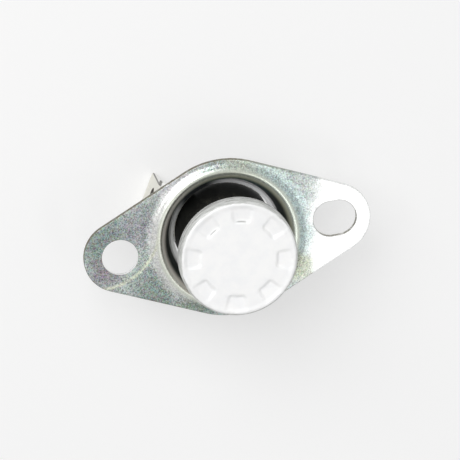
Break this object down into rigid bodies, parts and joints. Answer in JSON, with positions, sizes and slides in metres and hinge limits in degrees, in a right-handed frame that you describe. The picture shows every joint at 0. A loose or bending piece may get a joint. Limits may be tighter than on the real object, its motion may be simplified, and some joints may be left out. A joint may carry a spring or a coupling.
{
  "type": "microwave oven thermostat",
  "caption": "Snap-disc thermostat: aluminium cap crimped on a black moulded base, push-on tabs below, and a loose two-ear mounting bracket round the base.",
  "frame": {"origin": "centre of the cap's flat sensing face", "axes": "+Z out of the sensing face, +Y along the bracket towards its slotted ear, +X across the bracket"},
  "size_m": [0.0178, 0.032, 0.0163],
  "materials": {
    "cap_aluminium": "satin, pale",
    "disc_alloy": "satin two-metal strip",
    "guide_moulding": "matt phenolic moulding",
    "pin_ceramic": "matt ceramic",
    "base_moulding": "black phenolic moulding, half gloss",
    "spring_bronze": "rolled spring bronze",
    "contact_silver": "silver",
    "plate_brass": "rolled brass",
    "terminal_tin": "tinned, dull",
    "rivet_metal": "tinned, satin",
    "bracket_zinc": "zinc plated, mottled, faintly iridescent"
  },
  "bodies": {
    "thermostat": {"cap": "cap_aluminium", "bimetal_disc": "disc_alloy", "pin_guide": "guide_moulding", "base": "base_moulding", "fixed_contact": "contact_silver", "fixed_plate": "plate_brass", "terminal_left": "terminal_tin", "terminal_right": "terminal_tin", "rivet_left": "rivet_metal", "rivet_right": "rivet_metal"},
    "pin": {"push_pin": "pin_ceramic"},
    "blade": {"moving_blade": "spring_bronze", "moving_contact": "contact_silver"},
    "bracket": {"bracket": "bracket_zinc"}
  },
  "joints": [
    {"name": "bracket_slide", "type": "slide", "parent": "thermostat", "child": "bracket", "axis": [0, 0, 1], "range_m": [0, 0.00685]},
    {"name": "pin_slide", "type": "slide", "parent": "thermostat", "child": "pin", "axis": [0, 0, 1], "range_m": [-0.00035, 0], "stiffness_N_per_m": 800, "deforming": ["bimetal_disc"]},
    {"name": "blade_tip", "type": "hinge", "parent": "thermostat", "child": "blade", "pos_m": [-0.0016, -0.00289, -0.0068], "axis": [0.8746, -0.4848, 0], "range_deg": [-6.5, 0]}
  ],
  "couplings": [
    {"joint": "blade_tip", "follows": "pin_slide", "rad_per_m": 303.03}
  ]
}
